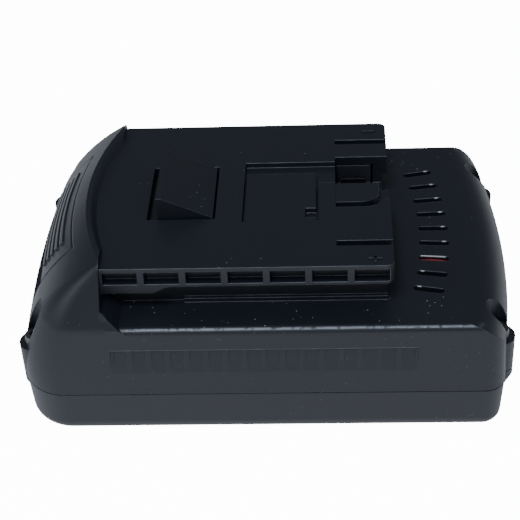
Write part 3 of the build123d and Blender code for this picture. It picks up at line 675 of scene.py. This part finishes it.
FINISHES: dict[Slot, Finish] = {
    Slot.HOUSING: Finish(
        "housing_plastic", (0.0085, 0.0105, 0.0155), 0.43, worn_and_sheen=(0.24, 0.25, 0.275), wear_and_sheen=1.0,
        cloud=0.12, dust=0.9, rim=0.7, glint=0.9, blend=3.0 * MM,
    ),
    Slot.LATCH: Finish(
        "latch_plastic", (0.0085, 0.0105, 0.0150), 0.42, worn_and_sheen=(0.12, 0.13, 0.15), wear_and_sheen=0.6,
        cloud=0.12, dust=0.7,
    ),
    Slot.CARRIER: Finish("carrier_plastic", (0.016, 0.018, 0.022), 0.55, wear_and_sheen=0.3, cloud=0.1),
    Slot.HOLDER: Finish("holder_plastic", (0.045, 0.045, 0.05), 0.6, wear_and_sheen=0.25, cloud=0.1),
    Slot.CELL: Finish("cell_sleeve", (0.04, 0.22, 0.42), 0.28, coat=0.3, grain_depth=0.004 * MM, cloud=0.08),
    Slot.SPRING: Finish("drawn_wire", (0.62, 0.62, 0.64), 0.3, metallic=1.0, cloud=0.1),
    Slot.SCREW: Finish(
        "plated_screw", (0.16, 0.155, 0.15), 0.34, metallic=1.0, worn_and_sheen=(0.5, 0.48, 0.45), wear_and_sheen=0.5
    ),
    Slot.NICKEL: Finish("nickel_strip", (0.72, 0.70, 0.66), 0.34, metallic=1.0, cloud=0.12),
    # the contacts are near black, far darker than tinned metal: painted shade for the dark terminal bay
    Slot.CONTACT: Finish("tinned_contact_painted_shade", (0.045, 0.044, 0.046), 0.5, metallic=1.0, cloud=0.1),
    Slot.FOAM: Finish("cell_foam", (0.08, 0.08, 0.09), 0.9, grain_scale=1400.0, grain_depth=0.12 * MM),
    Slot.SHEET: Finish("paper_board", (0.55, 0.52, 0.43), 0.75, grain_scale=900.0, grain_depth=0.05 * MM),
    Slot.BOARD: Finish("solder_mask", (0.015, 0.12, 0.05), 0.3, coat=0.4, grain_depth=0.01 * MM),
    Slot.CHIP: Finish("chip_package", (0.02, 0.02, 0.022), 0.5, wear_and_sheen=0.2),
    Slot.CAN: Finish("capacitor_can", (0.7, 0.7, 0.72), 0.25, metallic=1.0),
    Slot.BEAD: Finish("dipped_bead", (0.03, 0.03, 0.035), 0.3, coat=0.3),
    Slot.RED_LEAD: Finish(
        "red_insulation", (0.34, 0.012, 0.018), 0.35, coat=0.2, grain_depth=0.006 * MM
    ),
    Slot.BLACK_LEAD: Finish(
        "black_insulation", (0.015, 0.015, 0.017), 0.35, coat=0.2, grain_depth=0.006 * MM
    ),
}


@dataclass
class Wardrobe:
    """Builds every finish once and puts it on the solids by their slot."""

    groups: dict[str, bpy.types.NodeTree] = field(default_factory=dict)
    materials: dict[Slot, bpy.types.Material] = field(default_factory=dict)

    def build(self) -> None:
        """Builds the shared groups and all the materials."""
        self.groups = {
            "edges": EdgeWearAndSheen().build(),
            "grain": FineGrain().build(),
            "dust": DustSpecks().build(),
            "rim": DeckRimHighlight().build(),
            "glint": VentGlints().build(),
        }
        self.materials = {slot: finish.build(self.groups) for slot, finish in FINISHES.items()}

    def dress(self, piece: bpy.types.Object, slot: Slot) -> None:
        """Gives a piece one finish all over.

        Args:
            piece: The piece or solid.
            slot: The finish's slot.
        """
        piece.data.materials.clear()
        piece.data.materials.append(self.materials[slot])

    def dress_solids(self) -> None:
        """Gives every solid of the frame the finish that its record names."""
        for part in frame["record"]["subparts"]:
            slot = Slot(part["material_slot"])
            self.dress(frame["nodes"][part["node"]], slot)
            LOG.info("dressed %s as %s", part["node"], slot.value)


def deselect() -> None:
    """Leaves object mode with nothing selected."""
    if bpy.context.object and bpy.context.object.mode != "OBJECT":
        bpy.ops.object.mode_set(mode="OBJECT")
    bpy.ops.object.select_all(action="DESELECT")


def settle(piece: bpy.types.Object, name: str) -> bpy.types.Object:
    """Puts a piece's place into its mesh and names it.

    Args:
        piece: The piece, as its primitive was placed.
        name: Its name.

    Returns:
        The same piece.
    """
    deselect()
    piece.select_set(True)
    bpy.context.view_layer.objects.active = piece
    bpy.ops.object.transform_apply(location=True, rotation=True, scale=True)
    piece.name = name
    piece.data.name = name
    return piece


def join(parts: list[bpy.types.Object], name: str) -> bpy.types.Object:
    """Joins parts into one piece.

    Args:
        parts: The parts, each with its place in its mesh.
        name: The joined piece's name.

    Returns:
        The joined piece.
    """
    deselect()
    for part in parts:
        part.select_set(True)
    bpy.context.view_layer.objects.active = parts[0]
    bpy.ops.object.join()
    return settle(parts[0], name)


@dataclass
class PolarityMarks:
    """Raised plus and minus signs beside the power slots on the platform."""

    wardrobe: Wardrobe
    near_y: float = -26.6 * MM
    far_y: float = 25.8 * MM
    centre_x: float = 25.2 * MM
    arm_length: float = 3.2 * MM
    arm_width: float = 0.75 * MM
    height: float = 0.3 * MM
    softness: float = 0.08 * MM
    # the platform lies this far below the housing's highest point
    below_crest: float = 1.75 * MM

    def bar(self, x: float, y: float, length: float, width: float) -> bpy.types.Object:
        """Models one raised bar with softened edges on the platform's top.

        Args:
            x: The bar's middle along the pack.
            y: The bar's middle across the pack.
            length: Its size along the pack.
            width: Its size across the pack.

        Returns:
            The bar.
        """
        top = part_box("upper_housing")[1].z - self.below_crest
        deselect()
        bpy.ops.mesh.primitive_cube_add(size=1, location=(x, y, top), scale=(length, width, 2 * self.height))
        bar = bpy.context.object
        bpy.ops.object.transform_apply(location=True, rotation=True, scale=True)
        bpy.ops.object.mode_set(mode="EDIT")
        bpy.ops.mesh.select_all(action="SELECT")
        bpy.ops.mesh.bevel(offset=self.softness, segments=BEVEL_SEGMENTS)
        bpy.ops.object.mode_set(mode="OBJECT")
        return bar

    def build(self) -> None:
        """Models both signs and lets them ride on the pack."""
        plus = join(
            [
                self.bar(self.centre_x, self.near_y, self.arm_length, self.arm_width),
                self.bar(self.centre_x, self.near_y, self.arm_width, self.arm_length),
            ],
            "plus_sign",
        )
        minus = settle(self.bar(self.centre_x, self.far_y, self.arm_length, self.arm_width), "minus_sign")
        for sign in (plus, minus):
            self.wardrobe.dress(sign, Slot.HOUSING)
            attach(sign, Body.PACK.value)
            LOG.info("modelled %s", sign.name)


@dataclass
class BayShelf:
    """Raised land on the carrier's tongue, which leaves a curved slot beside the bay's edge."""

    wardrobe: Wardrobe
    rear_x: float = 16.4 * MM
    front_x: float = 27.0 * MM
    near_y: float = -4.6 * MM
    far_y: float = 3.2 * MM
    floor_z: float = 39.65 * MM
    top_z: float = 42.0 * MM
    corner: float = 4.4 * MM
    corner_segments: int = 10
    softness: float = 0.2 * MM
    sharp_angle: float = math.radians(40)
    closeness: float = 0.1 * MM

    def build(self) -> None:
        """Models the land with its rounded corner and softened edges."""
        size = Vector((self.front_x - self.rear_x, self.far_y - self.near_y, self.top_z - self.floor_z))
        centre = Vector((self.rear_x, self.near_y, self.floor_z)) + size / 2
        deselect()
        bpy.ops.mesh.primitive_cube_add(size=1, location=centre, scale=size)
        shelf = settle(bpy.context.object, "bay_shelf")
        bpy.ops.object.mode_set(mode="EDIT")
        bpy.ops.mesh.select_mode(type="EDGE")
        bpy.ops.mesh.select_all(action="DESELECT")
        mesh = bmesh.from_edit_mesh(shelf.data)
        for edge in mesh.edges:
            middle = (edge.verts[0].co + edge.verts[1].co) / 2 - centre
            if middle.x > self.closeness and middle.y < -self.closeness and abs(middle.z) < self.closeness:
                edge.select_set(True)
        bmesh.update_edit_mesh(shelf.data)
        bpy.ops.mesh.bevel(offset=self.corner, segments=self.corner_segments)
        bpy.ops.mesh.select_all(action="DESELECT")
        bpy.ops.mesh.edges_select_sharp(sharpness=self.sharp_angle)
        bpy.ops.mesh.bevel(offset=self.softness, segments=BEVEL_SEGMENTS)
        bpy.ops.object.mode_set(mode="OBJECT")
        self.wardrobe.dress(shelf, Slot.HOUSING)
        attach(shelf, Body.PACK.value)
        LOG.info("modelled %s", shelf.name)


@dataclass
class LeadLoop:
    """Loop of red sense lead that shows behind one of the deck vents."""

    wardrobe: Wardrobe
    centre_x: float = 39.4 * MM
    centre_y: float = -11.75 * MM
    turn: float = math.radians(-6.0)
    span: float = 6.0 * MM
    rise: float = 0.32
    radius: float = 0.55 * MM
    top_z: float = 29.75 * MM
    cut_margin: float = 0.1375 * MM
    ring_segments: int = 72
    wire_segments: int = 20

    def build(self) -> None:
        """Models the upper half of a flattened ring, whose legs stand on the board."""
        centre = Vector((self.centre_x, self.centre_y, self.top_z - self.span * self.rise))
        leg = centre.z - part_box("control_board")[1].z
        deselect()
        bpy.ops.mesh.primitive_torus_add(
            location=centre,
            rotation=(math.radians(90), 0, self.turn),
            major_radius=self.span,
            minor_radius=self.radius,
            major_segments=self.ring_segments,
            minor_segments=self.wire_segments,
        )
        loop = settle(bpy.context.object, "red_lead_loop")
        bpy.ops.object.mode_set(mode="EDIT")
        bpy.ops.mesh.select_mode(type="VERT")
        bpy.ops.mesh.select_all(action="DESELECT")
        mesh = bmesh.from_edit_mesh(loop.data)
        for vertex in mesh.verts:
            if vertex.co.z < centre.z - self.cut_margin:
                vertex.select_set(True)
        bmesh.update_edit_mesh(loop.data)
        bpy.ops.mesh.delete(type="VERT")
        bpy.ops.mesh.select_all(action="SELECT")
        bpy.ops.transform.resize(value=(1, 1, self.rise), center_override=centre)
        bpy.ops.mesh.select_all(action="DESELECT")
        bpy.ops.mesh.select_non_manifold()
        bpy.ops.mesh.extrude_region_move(TRANSFORM_OT_translate={"value": (0, 0, -leg)})
        bpy.ops.mesh.select_all(action="SELECT")
        bpy.ops.mesh.fill_holes(sides=0)
        bpy.ops.mesh.select_all(action="SELECT")
        bpy.ops.mesh.normals_make_consistent(inside=False)
        bpy.ops.object.mode_set(mode="OBJECT")
        bpy.ops.object.shade_smooth()
        self.wardrobe.dress(loop, Slot.RED_LEAD)
        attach(loop, Body.PACK.value)
        LOG.info("modelled %s", loop.name)


@dataclass
class LatchSprings:
    """The two coil springs under the latch plate, which shorten as the latch is pressed."""

    wardrobe: Wardrobe
    solids: tuple[str, ...] = ("latch_spring_near", "latch_spring_far")
    joint: str = "latch_press"
    wire_radius: float = 0.35 * MM
    turns: int = 7
    steps: int = 28
    wire_sides: int = 12
    seat_z: float = 22.8 * MM
    clearance: float = 0.1 * MM
    stroke: float = 5.7 * MM
    smooth_angle: float = math.radians(50)

    def wind(self, name: str, low: Vector, high: Vector) -> bpy.types.Object:
        """Winds a spring of round wire in the room that its solid takes.

        Args:
            name: The spring's name.
            low: The solid's lowest corner.
            high: The solid's highest corner.

        Returns:
            The spring, with closed ends.
        """
        coil_radius = (high.x - low.x) / 2 - self.wire_radius
        height = high.z - low.z - 2 * self.wire_radius
        deselect()
        bpy.ops.mesh.primitive_circle_add(
            vertices=self.wire_sides,
            radius=self.wire_radius,
            location=(coil_radius, 0, 0),
            rotation=(math.radians(90), 0, 0),
        )
        coil = settle(bpy.context.object, name)
        wound = coil.modifiers.new("wound", "SCREW")
        wound.screw_offset = height / self.turns
        wound.iterations = self.turns
        wound.steps = wound.render_steps = self.steps
        bpy.ops.object.modifier_apply(modifier=wound.name)
        bpy.ops.object.mode_set(mode="EDIT")
        bpy.ops.mesh.select_all(action="SELECT")
        bpy.ops.mesh.fill_holes(sides=0)
        bpy.ops.mesh.select_all(action="SELECT")
        bpy.ops.mesh.normals_make_consistent(inside=False)
        bpy.ops.object.mode_set(mode="OBJECT")
        bpy.ops.object.shade_smooth_by_angle(angle=self.smooth_angle)
        coil.location = ((low.x + high.x) / 2, (low.y + high.y) / 2, low.z + self.wire_radius)
        return settle(coil, name)

    def build(self) -> None:
        """Winds both springs in place of their solids, which it hides, and lets them ride on the pack."""
        for solid in self.solids:
            low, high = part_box(solid)
            spring = self.wind(f"{solid}_coil", low, high)
            self.wardrobe.dress(spring, Slot.SPRING)
            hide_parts(solid)
            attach(spring, Body.PACK.value)
            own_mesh(spring)


@dataclass(frozen=True)
class Lamp:
    """One soft square lamp."""

    name: str
    place: tuple[float, float, float]
    size: float
    power: float

    def hang(self, colour: Colour, aim: Vector) -> None:
        """Hangs the lamp, facing the pack.

        Args:
            colour: The light's colour.
            aim: The point that it faces.
        """
        deselect()
        bpy.ops.object.light_add(type="AREA", location=self.place)
        lamp = bpy.context.object
        lamp.name = self.name
        lamp.data.size = self.size
        lamp.data.energy = self.power
        lamp.data.color = colour
        lamp.rotation_euler = (aim - Vector(self.place)).to_track_quat("-Z", "Y").to_euler()


@dataclass
class Studio:
    """Floor, background, lights and camera, as the photograph has them."""

    camera_place: Vector = field(default_factory=lambda: Vector((15.764, -272.845, 230.052)) * MM)
    camera_forward: Vector = field(default_factory=lambda: Vector((-0.051827, 0.793800, -0.605967)))
    camera_up: Vector = field(default_factory=lambda: Vector((0.015566, 0.607351, 0.794281)))
    focal_length: float = 96.86
    floor_size: float = 6.0
    backdrop_glow: float = 14.0
    floor_glow: float = 0.36
    sky_glow: float = 0.2
    light_colour: Colour = (0.80, 0.88, 1.0)
    floor_colour: Colour = (0.93, 0.93, 0.94)
    floor_roughness: float = 0.9
    floor_gloss: float = 0.1
    glow_colour: Colour = (0.98, 0.99, 1.0)
    clip_start: float = 0.01
    aim_z: float = 20.0 * MM
    # low in front, overhead, left, a small one that catches the edges, and right
    lamps: tuple[Lamp, ...] = (
        Lamp("front", (-0.3, -1.2, 0.25), 0.8, 0.4),
        Lamp("overhead", (-0.15, -0.35, 0.9), 0.2, 3.2),
        Lamp("left", (-0.9, -0.3, 0.5), 0.4, 1.7),
        Lamp("edges", (-0.12, -0.62, 0.88), 0.16, 3.0),
        Lamp("right", (0.95, -0.2, 0.75), 0.4, 1.2),
    )

    def glow(self, tree: bpy.types.NodeTree, unseen: float) -> bpy.types.NodeSocket:
        """Makes a glow that is strong for the camera and weak for everything else.

        Args:
            tree: The tree to work in.
            unseen: The strength with which it lights the pack.

        Returns:
            The socket with the strength.
        """
        path = add_node(tree, "ShaderNodeLightPath")
        shown = maths(tree, "MULTIPLY", path.outputs["Is Camera Ray"], self.backdrop_glow)
        return maths(tree, "MAXIMUM", shown, unseen)

    def build_floor(self) -> None:
        """Lays a pale floor under the pack."""
        deselect()
        bpy.ops.mesh.primitive_plane_add(size=self.floor_size)
        floor = bpy.context.object
        floor.name = "floor"
        material = bpy.data.materials.new("floor_paper")
        material.use_nodes = True
        tree = material.node_tree
        shader = tree.nodes["Principled BSDF"].inputs
        shader["Base Color"].default_value = (*self.floor_colour, 1)
        shader["Roughness"].default_value = self.floor_roughness
        shader["Specular IOR Level"].default_value = self.floor_gloss
        shader["Emission Color"].default_value = (*self.glow_colour, 1)
        tree.links.new(self.glow(tree, self.floor_glow), shader["Emission Strength"])
        floor.data.materials.append(material)

    def build_sky(self) -> None:
        """Fills the surroundings with even pale light."""
        world = bpy.data.worlds.new("studio")
        world.use_nodes = True
        bpy.context.scene.world = world
        tree = world.node_tree
        light = tree.nodes["Background"]
        light.inputs["Color"].default_value = (*self.light_colour, 1)
        tree.links.new(self.glow(tree, self.sky_glow), light.inputs["Strength"])

    def build_camera(self) -> None:
        """Stands the camera where the photograph was taken from."""
        right = self.camera_forward.cross(self.camera_up)
        turn = Matrix((right, self.camera_up, -self.camera_forward)).transposed().to_4x4()
        data = bpy.data.cameras.new("camera")
        data.lens = self.focal_length
        data.clip_start = self.clip_start
        camera = bpy.data.objects.new("camera", data)
        bpy.context.scene.collection.objects.link(camera)
        camera.matrix_world = Matrix.Translation(self.camera_place) @ turn
        bpy.context.scene.camera = camera

    def build(self) -> None:
        """Builds the whole studio."""
        self.build_floor()
        self.build_sky()
        for lamp in self.lamps:
            lamp.hang(self.light_colour, Vector((0, 0, self.aim_z)))
        self.build_camera()


def main() -> None:
    """Builds the studio, dresses the solids and models the added pieces."""
    logging.basicConfig(level=logging.INFO)
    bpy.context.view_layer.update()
    wardrobe = Wardrobe()
    wardrobe.build()
    wardrobe.dress_solids()
    PolarityMarks(wardrobe).build()
    BayShelf(wardrobe).build()
    LeadLoop(wardrobe).build()
    LatchSprings(wardrobe).build()
    Studio().build()


if __name__ == "__main__":
    main()
